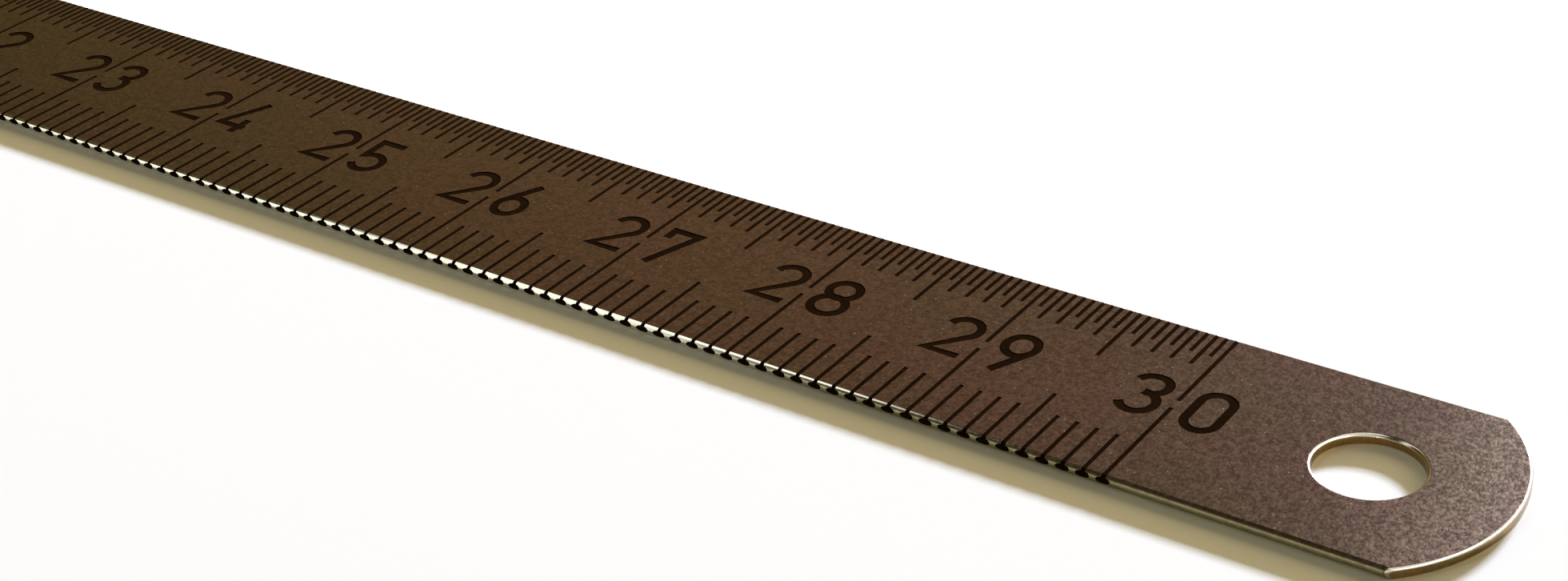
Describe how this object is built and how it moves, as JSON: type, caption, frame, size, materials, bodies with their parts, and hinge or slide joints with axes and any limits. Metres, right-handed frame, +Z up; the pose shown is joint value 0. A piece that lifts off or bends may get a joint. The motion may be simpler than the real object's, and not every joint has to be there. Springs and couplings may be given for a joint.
{
  "type": "steel ruler",
  "caption": "Thin flexible steel rule with millimetre and half-millimetre lines, half-round long edges, a square zero end and a bowed end with a hanging hole.",
  "frame": {"origin": "middle of the square zero end, on the underside", "axes": "+X along the scale from the zero end to the hole, +Y across to the half-millimetre edge, +Z up out of the marked face"},
  "size_m": [0.316, 0.013, 0.0005],
  "materials": {
    "rule_steel": "fine satin, dull brown-grey, with blackened lines and numerals"
  },
  "bodies": {
    "root": {"rule": "rule_steel"}
  },
  "joints": []
}
